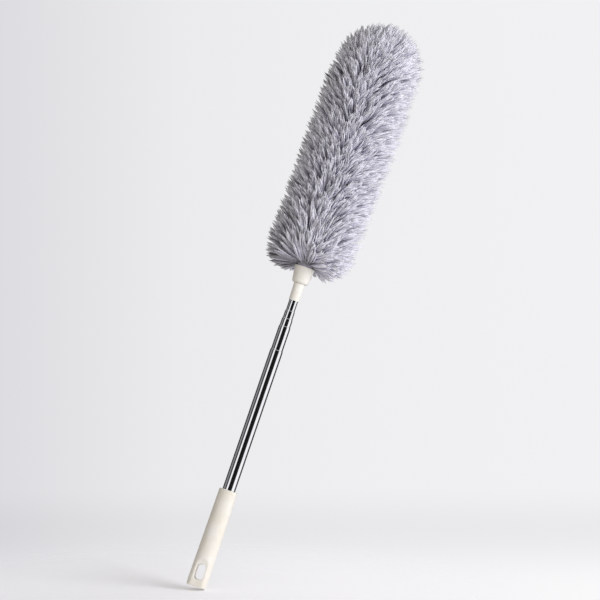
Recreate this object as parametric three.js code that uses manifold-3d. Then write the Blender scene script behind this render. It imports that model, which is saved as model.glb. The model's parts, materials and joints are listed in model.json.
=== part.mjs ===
// Extending ceiling fan duster: a telescopic steel pole with a plastic grip at its lower end
// and a bendable head of soft fibre locks at its upper end. Millimetres, +Z up along the pole.
// The origin is the centre of the grip's flat end, and heights are measured from there.
import * as THREE from "three";
import { mergeVertices } from "three/addons/utils/BufferGeometryUtils.js";
import Module from "manifold-3d";

const wasm = await Module();
wasm.setup();

// Grip: a tapered round handle with two flats and a hanging slot at its lower end
const GRIP_LENGTH = 140;
const GRIP_END_RADIUS = 14.2;
const GRIP_TOP_RADIUS = 13.2;
const GRIP_EDGE = 1.6;
const GRIP_FLOOR = 37; // bottom of the bore that takes the pole
const FLAT_FROM_AXIS = 11.2;
const FLAT_TOP = 32;
const FLAT_RUNOUT = 9; // height over which a flat rises to the round surface
const SLOT_WIDTH = 13.6;
const SLOT_HEIGHT = 22;
const SLOT_CORNER = 5.6;
const SLOT_MIDDLE = 21;
const CUT_LENGTH = 60; // of the cutters that make the flats and the slot
const CUT_OVERRUN = 1; // how far they run past the grip

// Pole: five thin tubes, pushed together, each with a lip rolled in at its upper end
const SECTIONS = 5;
const TUBE_RADIUS = 9.1; // outside of the widest tube
const TUBE_STEP = 0.7; // from one tube's outside to the next one's
const TUBE_WALL = 0.4;
const TUBE_RIMS = [346, 381, 392.5, 404, 437];
const FIRST_SLIDING_FOOT = 53;
const FOOT_PITCH = 11.5; // from one sliding tube's foot to the next one's
const LIP_HEIGHT = 2.4;
const LIP_GAP = 0.1;
const PLUG_FLANGE = 2;
const PLUG_HEIGHT = 11.7;
const LEAD_IN = 1; // chamfer on the end of a spigot
const BUSH_FLANGE = 2.2;
const BUSH_SPIGOT = 6;
const BUSH_WALL = 1.1;
const RUNNING_GAP = 0.1;
const SPRING_FOOT = 1;
const SPRING_HEIGHT = 16;
const SPRING_THICKNESS = 0.18;
const SPRING_SLIT = 3;

// Neck and collar: the socket on the pole's tip and the cup that carries the head
const NECK_FOOT = 419;
const NECK_LENGTH = 25;
const NECK_FOOT_RADIUS = 7.2;
const NECK_TOP_RADIUS = 7.8;
const NECK_EDGE = 0.35;
const SPIGOT_RADIUS = 5.6;
const SPIGOT_LENGTH = 16;
const COLLAR_LENGTH = 24;
const COLLAR_FOOT_RADIUS = 11.9;
const COLLAR_TOP_RADIUS = 14.6;
const COLLAR_EDGE = 3.8;
const COLLAR_WALL = 1.3;
const CUP_DEPTH = 8.5;
const BOSS_RADIUS = 8.2;
const BOSS_RISE = 2; // height of the boss above the collar's rim
const WEB = 1.3; // wall between the spigot's hole and the core's hole

// Head: a wire core in a soft sleeve, in a backing from which the locks of fibre stand out
const HEAD_TOP = 829;
const HEAD_RADIUS = 63;
const BEND_HEIGHTS = [572, 646, 722];
const WIRE_RADIUS = 2.5;
const KNUCKLE_RADIUS = 4;
const KNUCKLE_WALL = 1.3;
const CORE_TOP = 780;
const SLEEVE_BORE = 6;
const SLEEVE_RADIUS = 8.6;
const SLEEVE_CLEARANCE = 2.6; // left free each side of a bend
const CAP_HEIGHT = 8;
const CAP_EDGE = 3;
const BACKING_BORE = 9.3;
const BACKING_RADIUS = 11.3;
const BACKING_FOOT = 460.6;
const BACKING_SHOULDER = 782; // where the backing's domed end begins
const LOCK_RINGS = 21;
const LOCKS_ROUND = 18; // locks in a ring of the widest part
const LOCK_ROOT_RADIUS = 1.1;
const LOCK_BELLY_RADIUS = 8;
const LOCK_BELLY_AT = 0.72; // share of the lock's length
const LOCK_SHORTER = 0.07; // most that a lock falls short of the head's outline
const LOCK_FIRST_ROOT = 474;
const ROOT_CROWDING = 1.4; // over 1, roots crowd towards the head's foot, so that locks lean up
const LOCK_FIRST_TIP = [46, 463];
const UNDERSIDE_RISE = 6; // from the lowest tips to where the head's rounded underside turns up
const FULL_WIDTH_FROM = 502;

// Clearance between fixed pieces that touch, and the sides of round pieces
const GAP = 0.3;
const POLE_SIDES = 20;
const MOULDING_SIDES = 32;
const CORE_SIDES = 12;
const BACKING_SIDES = 12;
const GOLDEN = (Math.sqrt(5) - 1) / 2;

const ivory = new THREE.MeshStandardMaterial({ color: 0xeae2d3, roughness: 0.42 });
const steel = new THREE.MeshStandardMaterial({ color: 0xd2d4d6, roughness: 0.12, metalness: 1 });
const nylon = new THREE.MeshStandardMaterial({ color: 0xe6e4dc, roughness: 0.5 });
const bronze = new THREE.MeshStandardMaterial({ color: 0xb58a4b, roughness: 0.3, metalness: 1 });
const wire = new THREE.MeshStandardMaterial({ color: 0x96999c, roughness: 0.35, metalness: 1 });
const foam = new THREE.MeshStandardMaterial({ color: 0xd6d2cf, roughness: 0.8 });
const fibre = new THREE.MeshStandardMaterial({ color: 0xaca8b6, roughness: 1 });

// A body of revolution about Z from points (radius, height), in order round its section.
function turned(points, sides) {
  const profile = points.map(([radius, height]) => new THREE.Vector2(radius, height));
  const geometry = new THREE.LatheGeometry(profile, sides);
  geometry.rotateX(Math.PI / 2);
  return geometry;
}

// The same for a ring, whose section closes on itself clear of the axis.
function turnedRing(points, sides) {
  return turned([...points, points[0]], sides);
}

// Points of a quarter round from one angle to another, in degrees, on a turned section.
function roundedEdge(centreRadius, centreHeight, radius, from, to, steps = 4) {
  const points = [];
  for (let step = 0; step <= steps; step++) {
    const angle = THREE.MathUtils.degToRad(from + ((to - from) * step) / steps);
    points.push([
      centreRadius + radius * Math.cos(angle),
      centreHeight + radius * Math.sin(angle),
    ]);
  }
  return points;
}

// A closed geometry as a solid that can be joined and cut.
function solidFrom(geometry) {
  const bare = geometry.clone();
  bare.deleteAttribute("normal");
  bare.deleteAttribute("uv");
  const merged = mergeVertices(bare);
  return new wasm.Manifold(
    new wasm.Mesh({
      numProp: 3,
      vertProperties: merged.attributes.position.array,
      triVerts: new Uint32Array(merged.index.array),
    }),
  );
}

function geometryFrom(solid) {
  const mesh = solid.getMesh();
  const geometry = new THREE.BufferGeometry();
  geometry.setAttribute("position", new THREE.BufferAttribute(mesh.vertProperties, 3));
  geometry.setIndex(new THREE.BufferAttribute(mesh.triVerts, 1));
  geometry.computeVertexNormals();
  return geometry;
}

const duster = new THREE.Group();

function addPiece(name, geometry, material) {
  const mesh = new THREE.Mesh(geometry, material);
  mesh.name = name;
  duster.add(mesh);
}

const tubeRadius = (section) => TUBE_RADIUS - TUBE_STEP * section;
const boreRadius = (section) => tubeRadius(section) - TUBE_WALL;

function tubeFoot(section) {
  if (section === 0) return GRIP_FLOOR + GAP + PLUG_FLANGE + GAP;
  return FIRST_SLIDING_FOOT + FOOT_PITCH * (section - 1);
}

// The grip's round body, bored from above for the pole.
function gripBody() {
  const bore = TUBE_RADIUS + GAP;
  const endCentre = GRIP_END_RADIUS - GRIP_EDGE;
  const topCentre = GRIP_TOP_RADIUS - GRIP_EDGE;
  return turned(
    [
      [0, 0],
      ...roundedEdge(endCentre, GRIP_EDGE, GRIP_EDGE, -90, 0),
      ...roundedEdge(topCentre, GRIP_LENGTH - GRIP_EDGE, GRIP_EDGE, 0, 90),
      [bore, GRIP_LENGTH],
      [bore, GRIP_FLOOR],
      [0, GRIP_FLOOR],
    ],
    MOULDING_SIDES,
  );
}

// What is cut away in front of one flat: straight up from the grip's end, then running out.
function flatCut(side) {
  const outside = GRIP_END_RADIUS + CUT_OVERRUN;
  const section = new THREE.Shape();
  section.moveTo(FLAT_FROM_AXIS, -CUT_OVERRUN);
  section.lineTo(outside, -CUT_OVERRUN);
  section.lineTo(outside, FLAT_TOP + FLAT_RUNOUT);
  section.quadraticCurveTo(FLAT_FROM_AXIS, FLAT_TOP + FLAT_RUNOUT / 2, FLAT_FROM_AXIS, FLAT_TOP);
  const cut = new THREE.ExtrudeGeometry(section, {
    depth: CUT_LENGTH,
    bevelEnabled: false,
    curveSegments: 6,
  });
  cut.translate(0, 0, -CUT_LENGTH / 2);
  cut.rotateX(Math.PI / 2);
  cut.rotateZ((side * Math.PI) / 2);
  return cut;
}

// The hanging slot, a rounded oblong right through the grip from front to back.
function slotCut() {
  const halfWidth = SLOT_WIDTH / 2;
  const halfHeight = SLOT_HEIGHT / 2;
  const across = halfWidth - SLOT_CORNER;
  const up = halfHeight - SLOT_CORNER;
  const outline = new THREE.Shape();
  outline.absarc(across, up, SLOT_CORNER, 0, Math.PI / 2);
  outline.absarc(-across, up, SLOT_CORNER, Math.PI / 2, Math.PI);
  outline.absarc(-across, -up, SLOT_CORNER, Math.PI, 1.5 * Math.PI);
  outline.absarc(across, -up, SLOT_CORNER, 1.5 * Math.PI, 2 * Math.PI);
  const cut = new THREE.ExtrudeGeometry(outline, {
    depth: CUT_LENGTH,
    bevelEnabled: false,
    curveSegments: 5,
  });
  cut.rotateX(Math.PI / 2);
  cut.translate(0, CUT_LENGTH / 2, SLOT_MIDDLE);
  return cut;
}

function grip() {
  let body = solidFrom(gripBody());
  for (const cut of [flatCut(1), flatCut(-1), slotCut()]) body = body.subtract(solidFrom(cut));
  return geometryFrom(body);
}

// The plug in the foot of the widest tube, with a flange that the tube stands on.
function anchorPlug() {
  const foot = GRIP_FLOOR + GAP;
  const inTube = boreRadius(0) - GAP;
  return turned(
    [
      [0, foot],
      [TUBE_RADIUS, foot],
      [TUBE_RADIUS, foot + PLUG_FLANGE],
      [inTube, foot + PLUG_FLANGE],
      [inTube, foot + PLUG_HEIGHT - LEAD_IN],
      [inTube - LEAD_IN, foot + PLUG_HEIGHT],
      [0, foot + PLUG_HEIGHT],
    ],
    POLE_SIDES,
  );
}

// One tube of the pole. All but the thinnest have their upper end rolled in round the next tube.
function tube(section) {
  const outside = tubeRadius(section);
  const inside = boreRadius(section);
  const foot = tubeFoot(section);
  const rim = TUBE_RIMS[section];
  const lip = tubeRadius(section + 1) + LIP_GAP;
  const plainEnd = [
    [outside, rim],
    [inside, rim],
  ];
  const rolledEnd = [
    [outside, rim - LIP_HEIGHT / 2],
    [outside - TUBE_WALL / 4, rim - LIP_HEIGHT / 6],
    [outside - TUBE_WALL, rim],
    [lip, rim],
    [lip, rim - LIP_HEIGHT / 2],
    [inside, rim - LIP_HEIGHT],
  ];
  const upperEnd = section === SECTIONS - 1 ? plainEnd : rolledEnd;
  return turnedRing([[inside, foot], [outside, foot], ...upperEnd], POLE_SIDES);
}

// The bush under a sliding tube: a spigot in the tube's foot and a flange that runs in the wider tube.
function bush(section) {
  const foot = tubeFoot(section);
  const spigot = boreRadius(section) - RUNNING_GAP;
  const flange = boreRadius(section - 1) - RUNNING_GAP;
  const hole = spigot - BUSH_WALL;
  return turnedRing(
    [
      [hole, foot - BUSH_FLANGE],
      [flange, foot - BUSH_FLANGE],
      [flange, foot - RUNNING_GAP],
      [spigot, foot - RUNNING_GAP],
      [spigot, foot + BUSH_SPIGOT],
      [hole, foot + BUSH_SPIGOT],
    ],
    POLE_SIDES,
  );
}

// The split spring that fills the space between a sliding tube and the wider one.
function frictionSpring(section) {
  const space = boreRadius(section - 1) - tubeRadius(section);
  const inside = tubeRadius(section) + (space - SPRING_THICKNESS) / 2;
  const outside = inside + SPRING_THICKNESS;
  const low = tubeFoot(section) + SPRING_FOOT;
  const high = low + SPRING_HEIGHT;
  const ring = turnedRing(
    [
      [inside, low],
      [outside, low],
      [outside, high],
      [inside, high],
    ],
    POLE_SIDES,
  );
  const slit = new THREE.BoxGeometry(2 * outside, SPRING_SLIT, 2 * SPRING_HEIGHT);
  slit.translate(outside, 0, (low + high) / 2);
  return geometryFrom(solidFrom(ring).subtract(solidFrom(slit)));
}

const collarFoot = NECK_FOOT + NECK_LENGTH + GAP;
const collarRim = collarFoot + COLLAR_LENGTH;
const spigotTop = NECK_FOOT + NECK_LENGTH + SPIGOT_LENGTH;

// The neck: a socket over the thinnest tube below, and a spigot for the head above.
function neck() {
  const bore = tubeRadius(SECTIONS - 1) + GAP;
  const boreTop = TUBE_RIMS[SECTIONS - 1] + GAP;
  const shoulder = NECK_FOOT + NECK_LENGTH;
  return turned(
    [
      [0, boreTop],
      [bore, boreTop],
      [bore, NECK_FOOT],
      ...roundedEdge(NECK_FOOT_RADIUS - NECK_EDGE, NECK_FOOT + NECK_EDGE, NECK_EDGE, -90, 0, 3),
      [NECK_TOP_RADIUS, shoulder],
      [SPIGOT_RADIUS, shoulder],
      [SPIGOT_RADIUS, spigotTop - LEAD_IN],
      [SPIGOT_RADIUS - LEAD_IN, spigotTop],
      [0, spigotTop],
    ],
    MOULDING_SIDES,
  );
}

// The collar: a flared cup with a hole below for the spigot and a boss inside for the core.
function collar() {
  const hole = SPIGOT_RADIUS + GAP;
  const holeTop = spigotTop + GAP;
  const wireHole = WIRE_RADIUS + GAP;
  const bossTop = collarRim + BOSS_RISE;
  const cupFloor = collarRim - CUP_DEPTH;
  const flare = (COLLAR_TOP_RADIUS - COLLAR_FOOT_RADIUS) / (COLLAR_LENGTH - COLLAR_EDGE);
  const cupRadius = COLLAR_TOP_RADIUS - COLLAR_WALL;
  const footCentre = COLLAR_FOOT_RADIUS - COLLAR_EDGE;
  return turned(
    [
      [0, holeTop],
      [hole, holeTop],
      [hole, collarFoot],
      ...roundedEdge(footCentre, collarFoot + COLLAR_EDGE, COLLAR_EDGE, -90, 0),
      [COLLAR_TOP_RADIUS - COLLAR_WALL / 4, collarRim - COLLAR_WALL / 4],
      [COLLAR_TOP_RADIUS - COLLAR_WALL / 2, collarRim],
      [cupRadius, collarRim],
      [cupRadius - flare * CUP_DEPTH, cupFloor],
      [BOSS_RADIUS, cupFloor],
      [BOSS_RADIUS, bossTop],
      [wireHole, bossTop],
      [wireHole, holeTop + WEB],
      [0, holeTop + WEB],
    ],
    MOULDING_SIDES,
  );
}

const lowestCore = spigotTop + GAP + WEB + GAP;

// One length of the core wire, with a round knuckle above and, past the first bend, a cup below.
function coreWire(length) {
  const below = BEND_HEIGHTS[length - 1];
  const above = BEND_HEIGHTS[length];
  const cupInside = KNUCKLE_RADIUS + GAP;
  const cupOutside = cupInside + KNUCKLE_WALL;
  const lowerEnd =
    length === 0
      ? [
          [0, lowestCore],
          [WIRE_RADIUS, lowestCore],
        ]
      : [
          ...roundedEdge(0, below, cupInside, 90, 0, 4),
          [cupOutside, below],
          [cupOutside, below + KNUCKLE_RADIUS],
          [WIRE_RADIUS, below + 2 * KNUCKLE_RADIUS],
        ];
  const waist = THREE.MathUtils.radToDeg(Math.acos(WIRE_RADIUS / KNUCKLE_RADIUS));
  const upperEnd =
    length === BEND_HEIGHTS.length
      ? [
          [WIRE_RADIUS, CORE_TOP],
          [0, CORE_TOP],
        ]
      : roundedEdge(0, above, KNUCKLE_RADIUS, -waist, 90, 6);
  return turned([...lowerEnd, ...upperEnd], CORE_SIDES);
}

// The soft sleeve round one length of the core, kept clear of the bends.
function coreSleeve(length) {
  const bossTop = collarRim + BOSS_RISE;
  const low = length === 0 ? bossTop + GAP : BEND_HEIGHTS[length - 1] + SLEEVE_CLEARANCE;
  const last = length === BEND_HEIGHTS.length;
  const high = last ? CORE_TOP - CAP_HEIGHT / 2 : BEND_HEIGHTS[length] - SLEEVE_CLEARANCE;
  return turnedRing(
    [
      [SLEEVE_BORE, low],
      [SLEEVE_RADIUS, low],
      [SLEEVE_RADIUS, high],
      [SLEEVE_BORE, high],
    ],
    POLE_SIDES,
  );
}

// The cap over the core's upper end: a domed button bored for the wire.
function coreCap() {
  const foot = CORE_TOP - CAP_HEIGHT / 2 + GAP;
  const hole = WIRE_RADIUS + GAP;
  return turned(
    [
      [0, CORE_TOP + GAP],
      [hole, CORE_TOP + GAP],
      [hole, foot],
      [SLEEVE_RADIUS, foot],
      ...roundedEdge(SLEEVE_RADIUS - CAP_EDGE, foot + CAP_HEIGHT - CAP_EDGE, CAP_EDGE, 0, 90, 3),
      [0, foot + CAP_HEIGHT],
    ],
    POLE_SIDES,
  );
}

// One length of the backing, a knitted tube. The last one is closed by a dome.
function backing(length) {
  const low = length === 0 ? BACKING_FOOT : BEND_HEIGHTS[length - 1] + GAP / 2;
  if (length < BEND_HEIGHTS.length) {
    const high = BEND_HEIGHTS[length] - GAP / 2;
    return turnedRing(
      [
        [BACKING_BORE, low],
        [BACKING_RADIUS, low],
        [BACKING_RADIUS, high],
        [BACKING_BORE, high],
      ],
      BACKING_SIDES,
    );
  }
  return turned(
    [
      ...roundedEdge(0, BACKING_SHOULDER, BACKING_BORE, 90, 0, 5),
      [BACKING_BORE, low],
      [BACKING_RADIUS, low],
      ...roundedEdge(0, BACKING_SHOULDER, BACKING_RADIUS, 0, 90, 5),
    ],
    BACKING_SIDES,
  );
}

// Where the tips of the locks lie, from the lowest ring up to the crown, in radius and height.
function headOutline() {
  const domeCentre = HEAD_TOP - HEAD_RADIUS;
  const [lowRadius, lowHeight] = LOCK_FIRST_TIP;
  const outline = new THREE.Path();
  outline.moveTo(lowRadius, lowHeight);
  outline.quadraticCurveTo(HEAD_RADIUS, lowHeight + UNDERSIDE_RISE, HEAD_RADIUS, FULL_WIDTH_FROM);
  outline.lineTo(HEAD_RADIUS, domeCentre);
  outline.absarc(0, domeCentre, HEAD_RADIUS, 0, Math.PI / 2);
  return outline;
}

// Where their roots lie, in the middle of the backing's thickness.
function rootLine() {
  const middle = (BACKING_BORE + BACKING_RADIUS) / 2;
  const line = new THREE.Path();
  line.moveTo(middle, LOCK_FIRST_ROOT);
  line.lineTo(middle, BACKING_SHOULDER);
  line.absarc(0, BACKING_SHOULDER, middle, 0, Math.PI / 2);
  return line;
}

// One lock of fibres, a three-sided spindle from its root to its pointed tip, turned about Z.
function lock(root, tip, turn) {
  const out = tip.x - root.x;
  const up = tip.y - root.y;
  const length = Math.hypot(out, up);
  const profile = [
    new THREE.Vector2(0, 0),
    new THREE.Vector2(LOCK_ROOT_RADIUS, 0),
    new THREE.Vector2(LOCK_BELLY_RADIUS, length * LOCK_BELLY_AT),
    new THREE.Vector2(0, length),
  ];
  const spindle = new THREE.LatheGeometry(profile, 3, Math.PI / 2);
  spindle.rotateX(Math.PI / 2);
  spindle.rotateY(Math.atan2(out, up));
  spindle.translate(root.x, 0, root.y);
  spindle.rotateZ(turn);
  return spindle;
}

// All locks, ring by ring, each with the height of its root.
function allLocks() {
  const outline = headOutline();
  const roots = rootLine();
  const locks = [];
  for (let ring = 0; ring < LOCK_RINGS; ring++) {
    const along = ring / (LOCK_RINGS - 1);
    const root = roots.getPointAt(along ** ROOT_CROWDING);
    const fullTip = outline.getPointAt(along);
    const count = Math.max(1, Math.round((LOCKS_ROUND * fullTip.x) / HEAD_RADIUS));
    for (let place = 0; place < count; place++) {
      const shorter = LOCK_SHORTER * ((locks.length * GOLDEN) % 1);
      const tip = fullTip.clone().lerp(root, shorter);
      const turn = ((place + (ring % 2) / 2) / count) * 2 * Math.PI;
      locks.push({ height: root.y, geometry: lock(root, tip, turn) });
    }
  }
  return locks;
}

// The locks rooted in one length of the backing, joined to it.
function fibres(length, locks) {
  const low = length === 0 ? 0 : BEND_HEIGHTS[length - 1];
  const high = length === BEND_HEIGHTS.length ? HEAD_TOP : BEND_HEIGHTS[length];
  const rooted = locks.filter((one) => one.height >= low && one.height < high);
  const solids = rooted.map((one) => solidFrom(one.geometry));
  return geometryFrom(wasm.Manifold.union([solidFrom(backing(length)), ...solids]));
}

addPiece("grip", grip(), ivory);
addPiece("pole_anchor_plug", anchorPlug(), nylon);
for (let section = 0; section < SECTIONS; section++) {
  addPiece(`tube_${section + 1}`, tube(section), steel);
  if (section === 0) continue;
  addPiece(`tube_${section + 1}_bush`, bush(section), nylon);
  addPiece(`tube_${section + 1}_friction_spring`, frictionSpring(section), bronze);
}
addPiece("neck_socket", neck(), ivory);
addPiece("head_collar", collar(), ivory);
const locks = allLocks();
for (let length = 0; length <= BEND_HEIGHTS.length; length++) {
  addPiece(`core_wire_${length + 1}`, coreWire(length), wire);
  addPiece(`core_sleeve_${length + 1}`, coreSleeve(length), foam);
  addPiece(`fibres_${length + 1}`, fibres(length, locks), fibre);
}
addPiece("core_cap", coreCap(), nylon);

export default duster;
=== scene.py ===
# Extending ceiling fan duster: a telescopic steel pole with a moulded grip below and a soft head above.
# Metres, +Z along the pole, origin at the centre of the grip's flat end.
import json
from math import cos, pi, radians, sin, sqrt, tan

import bpy
import numpy as np
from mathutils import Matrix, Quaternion, Vector


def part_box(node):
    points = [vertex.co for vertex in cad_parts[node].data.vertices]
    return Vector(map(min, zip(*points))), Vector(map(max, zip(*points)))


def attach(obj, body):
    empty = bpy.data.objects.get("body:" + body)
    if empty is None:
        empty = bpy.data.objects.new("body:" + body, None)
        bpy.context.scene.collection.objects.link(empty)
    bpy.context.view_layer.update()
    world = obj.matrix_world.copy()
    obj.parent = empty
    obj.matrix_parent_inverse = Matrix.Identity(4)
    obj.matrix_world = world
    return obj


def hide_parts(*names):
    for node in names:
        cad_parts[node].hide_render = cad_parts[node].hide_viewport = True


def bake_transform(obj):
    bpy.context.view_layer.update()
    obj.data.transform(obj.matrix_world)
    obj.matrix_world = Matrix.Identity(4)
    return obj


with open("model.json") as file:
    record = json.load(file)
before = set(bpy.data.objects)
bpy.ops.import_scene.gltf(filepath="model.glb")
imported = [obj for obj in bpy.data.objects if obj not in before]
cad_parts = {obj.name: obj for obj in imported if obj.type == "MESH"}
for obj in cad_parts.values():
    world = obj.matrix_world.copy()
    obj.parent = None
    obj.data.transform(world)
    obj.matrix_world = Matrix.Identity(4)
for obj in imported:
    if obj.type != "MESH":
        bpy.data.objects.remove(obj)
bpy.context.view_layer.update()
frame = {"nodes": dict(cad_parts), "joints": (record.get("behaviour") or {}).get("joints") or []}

scene = bpy.context.scene
scene.view_settings.view_transform = "Standard"

# Camera: far off, level with the upper part of the grip and a little to the right of it. It is rolled, so
# that the pole leans to the right in the picture.
CAMERA_DISTANCE = 3.5
CAMERA_HEIGHT = 0.126
CAMERA_TURN = radians(7)
AIM_HEIGHT = 0.423
AIM_RIGHT = 0.008
LEAN = radians(18.9)
FIELD_OF_VIEW = radians(13.61)

to_right = Vector((cos(CAMERA_TURN), sin(CAMERA_TURN), 0))
to_camera = Vector((sin(CAMERA_TURN), -cos(CAMERA_TURN), 0))
eye = to_camera * CAMERA_DISTANCE + Vector((0, 0, CAMERA_HEIGHT))
aim = to_right * AIM_RIGHT + Vector((0, 0, AIM_HEIGHT))
camera_data = bpy.data.cameras.new("camera")
camera_data.angle = FIELD_OF_VIEW
camera = bpy.data.objects.new("camera", camera_data)
camera.location = eye
camera.rotation_mode = "QUATERNION"
camera.rotation_quaternion = (aim - eye).to_track_quat("-Z", "Y") @ Quaternion((0, 0, 1), LEAN)
scene.collection.objects.link(camera)
scene.camera = camera


# Backdrop: the pale studio round the object. Near the photograph's view it is a soft grey wall, painted
# darker towards the left as shade, that meets a paler floor in a faint band of painted shade, and elsewhere
# one plain grey. The steel mirrors something else: the dark room round the camera, with a bright panel on
# either side.
def srgb(red, green, blue):
    """A colour written as it looks, from 0 to 255, as the linear colour that nodes take."""
    shares = (value / 255 for value in (red, green, blue))
    return (*(s / 12.92 if s <= 0.04045 else ((s + 0.055) / 1.055) ** 2.4 for s in shares), 1.0)


def fill(node, inputs):
    """Sets a node's inputs to values, or joins them to other nodes' outputs."""
    for key, value in inputs.items():
        if isinstance(value, bpy.types.NodeSocket):
            node.id_data.links.new(value, node.inputs[key])
        else:
            node.inputs[key].default_value = value


def add_node(tree, kind, inputs=None, **settings):
    """One node with its settings and inputs."""
    node = tree.nodes.new(kind)
    for name, value in settings.items():
        setattr(node, name, value)
    fill(node, inputs or {})
    return node


def calculate(tree, operation, *values):
    """A Math node's output."""
    return add_node(tree, "ShaderNodeMath", dict(enumerate(values)), operation=operation).outputs[0]


def times(tree, first, second):
    """Two values multiplied."""
    return calculate(tree, "MULTIPLY", first, second)


def remap(tree, value, low, high, to_low, to_high, kind="SMOOTHSTEP"):
    """A value from one range taken to another, and held at its ends."""
    inputs = {"Value": value, "From Min": low, "From Max": high, "To Min": to_low, "To Max": to_high}
    return add_node(tree, "ShaderNodeMapRange", inputs, interpolation_type=kind).outputs[0]


def colour_ramp(tree, value, stops):
    """A colour that changes with a value, from (place, colour) stops."""
    node = add_node(tree, "ShaderNodeValToRGB", {"Fac": value})
    elements = node.color_ramp.elements
    while len(elements) < len(stops):
        elements.new(1.0)
    for element, (place, colour) in zip(elements, stops):
        element.position = place
        element.color = colour
    return node.outputs[0]


def mix_colours(tree, factor, first, second, blend_type="MIX"):
    """Two colours mixed by a factor from 0 to 1."""
    inputs = {0: factor, 6: first, 7: second}
    return add_node(tree, "ShaderNodeMix", inputs, data_type="RGBA", blend_type=blend_type).outputs[2]


def grey(tree, level):
    """A level as a grey colour."""
    return add_node(tree, "ShaderNodeCombineColor", {0: level, 1: level, 2: level}).outputs[0]


def dot_with(tree, vector, direction):
    """How far a vector runs along a fixed direction."""
    inputs = {0: vector, 1: tuple(direction)}
    return add_node(tree, "ShaderNodeVectorMath", inputs, operation="DOT_PRODUCT").outputs["Value"]


WALL_TO_CAMERA = radians(3.5)
FLOOR_TO_CAMERA = radians(7.5)
upright = Vector((0, 0, 1)) * cos(LEAN) - to_right * sin(LEAN)
wall_up = upright * cos(WALL_TO_CAMERA) + to_camera * sin(WALL_TO_CAMERA)
floor_up = upright * cos(FLOOR_TO_CAMERA) + to_camera * sin(FLOOR_TO_CAMERA)
level_right = to_right * cos(LEAN) + Vector((0, 0, sin(LEAN)))
view_middle = (aim - eye).normalized().dot(level_right)
# Across the picture, from its left edge to its right
WALL = [
    (0.0, srgb(221, 220, 224)),
    (0.3, srgb(235, 235, 237)),
    (0.6, srgb(239, 239, 241)),
    (1.0, srgb(241, 241, 243)),
]
BACKDROP_FLOOR = [(0.0, srgb(226, 226, 230)), (0.5, srgb(242, 242, 244)), (1.0, srgb(249, 249, 250))]
VIEW_EDGE = tan(FIELD_OF_VIEW / 2)
SKIRTING = -0.6 * VIEW_EDGE
SKIRTING_SHADE = 0.06
SHADE_ABOVE = 0.14 * VIEW_EDGE
SHADE_BELOW = 0.18 * VIEW_EDGE
FLOOR_FADE = 0.22 * VIEW_EDGE
PLAIN_WALL = srgb(238, 238, 240)
SKIRTING_FULL = radians(11)
SKIRTING_GONE = radians(24)
AMBIENT_LEFT = (0.48, 0.47, 0.45, 1)
AMBIENT_RIGHT = (0.63, 0.62, 0.61, 1)
CEILING = (0.8, 0.8, 0.8, 1)
CEILING_RISE = (0.45, 0.75)
# Light seen in the steel round the pole, in degrees from the camera's side towards the right
STUDIO_BANDS = [
    (-180, 0.03), (-118, 0.03), (-108, 0.3), (-82, 0.3), (-72, 0.05), (-53, 0.05), (-48, 1.25),
    (-26, 1.25), (-23, 0.012), (10, 0.01), (47, 0.03), (51, 1.25), (98, 1.25), (105, 0.2),
    (115, 0.05), (180, 0.03),
]

world = bpy.data.worlds.new("studio")
scene.world = world
world.use_nodes = True
tree = world.node_tree
tree.nodes.clear()
direction = add_node(tree, "ShaderNodeTexCoord").outputs["Generated"]
left_edge, right_edge = view_middle - VIEW_EDGE, view_middle + VIEW_EDGE
across = remap(tree, dot_with(tree, direction, level_right), left_edge, right_edge, 0, 1, "LINEAR")
upward = dot_with(tree, direction, wall_up)
wall = colour_ramp(tree, across, WALL)
backdrop_floor = colour_ramp(tree, across, BACKDROP_FLOOR)
on_floor = remap(tree, upward, SKIRTING - FLOOR_FADE, SKIRTING, 1, 0)
shade_above = remap(tree, upward, SKIRTING, SKIRTING + SHADE_ABOVE, SKIRTING_SHADE, 0)
shade_below = remap(tree, upward, SKIRTING - SHADE_BELOW, SKIRTING, 0, 1)
skirting_shade = times(tree, shade_above, shade_below)
skirting_light = grey(tree, calculate(tree, "SUBTRACT", 1.0, skirting_shade))
wall_and_floor = mix_colours(tree, on_floor, wall, backdrop_floor)
skirted = mix_colours(tree, 1.0, wall_and_floor, skirting_light, "MULTIPLY")
straight_ahead = dot_with(tree, direction, (aim - eye).normalized())
nearby = remap(tree, straight_ahead, cos(SKIRTING_GONE), cos(SKIRTING_FULL), 0, 1)
backdrop = mix_colours(tree, nearby, PLAIN_WALL, skirted)
round_pole = calculate(
    tree, "ARCTAN2", dot_with(tree, direction, to_right), dot_with(tree, direction, to_camera)
)
band_places = [((degrees + 180) / 360, (light, light, light, 1)) for degrees, light in STUDIO_BANDS]
bands = colour_ramp(tree, remap(tree, round_pole, -pi, pi, 0, 1, "LINEAR"), band_places)
overhead = remap(tree, dot_with(tree, direction, (0, 0, 1)), *CEILING_RISE, 0, 1)
mirrored = mix_colours(tree, overhead, bands, CEILING)
light_path = add_node(tree, "ShaderNodeLightPath").outputs
seen = calculate(tree, "MAXIMUM", light_path["Is Camera Ray"], light_path["Is Transmission Ray"])
from_right = remap(tree, dot_with(tree, direction, level_right), -1, 1, 0, 1, "LINEAR")
ambient = mix_colours(tree, from_right, AMBIENT_LEFT, AMBIENT_RIGHT)
lit = mix_colours(tree, light_path["Is Glossy Ray"], ambient, mirrored)
shown = mix_colours(tree, seen, lit, backdrop)
background = add_node(tree, "ShaderNodeBackground", {"Color": shown}).outputs[0]
add_node(tree, "ShaderNodeOutputWorld", {"Surface": background})

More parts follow.
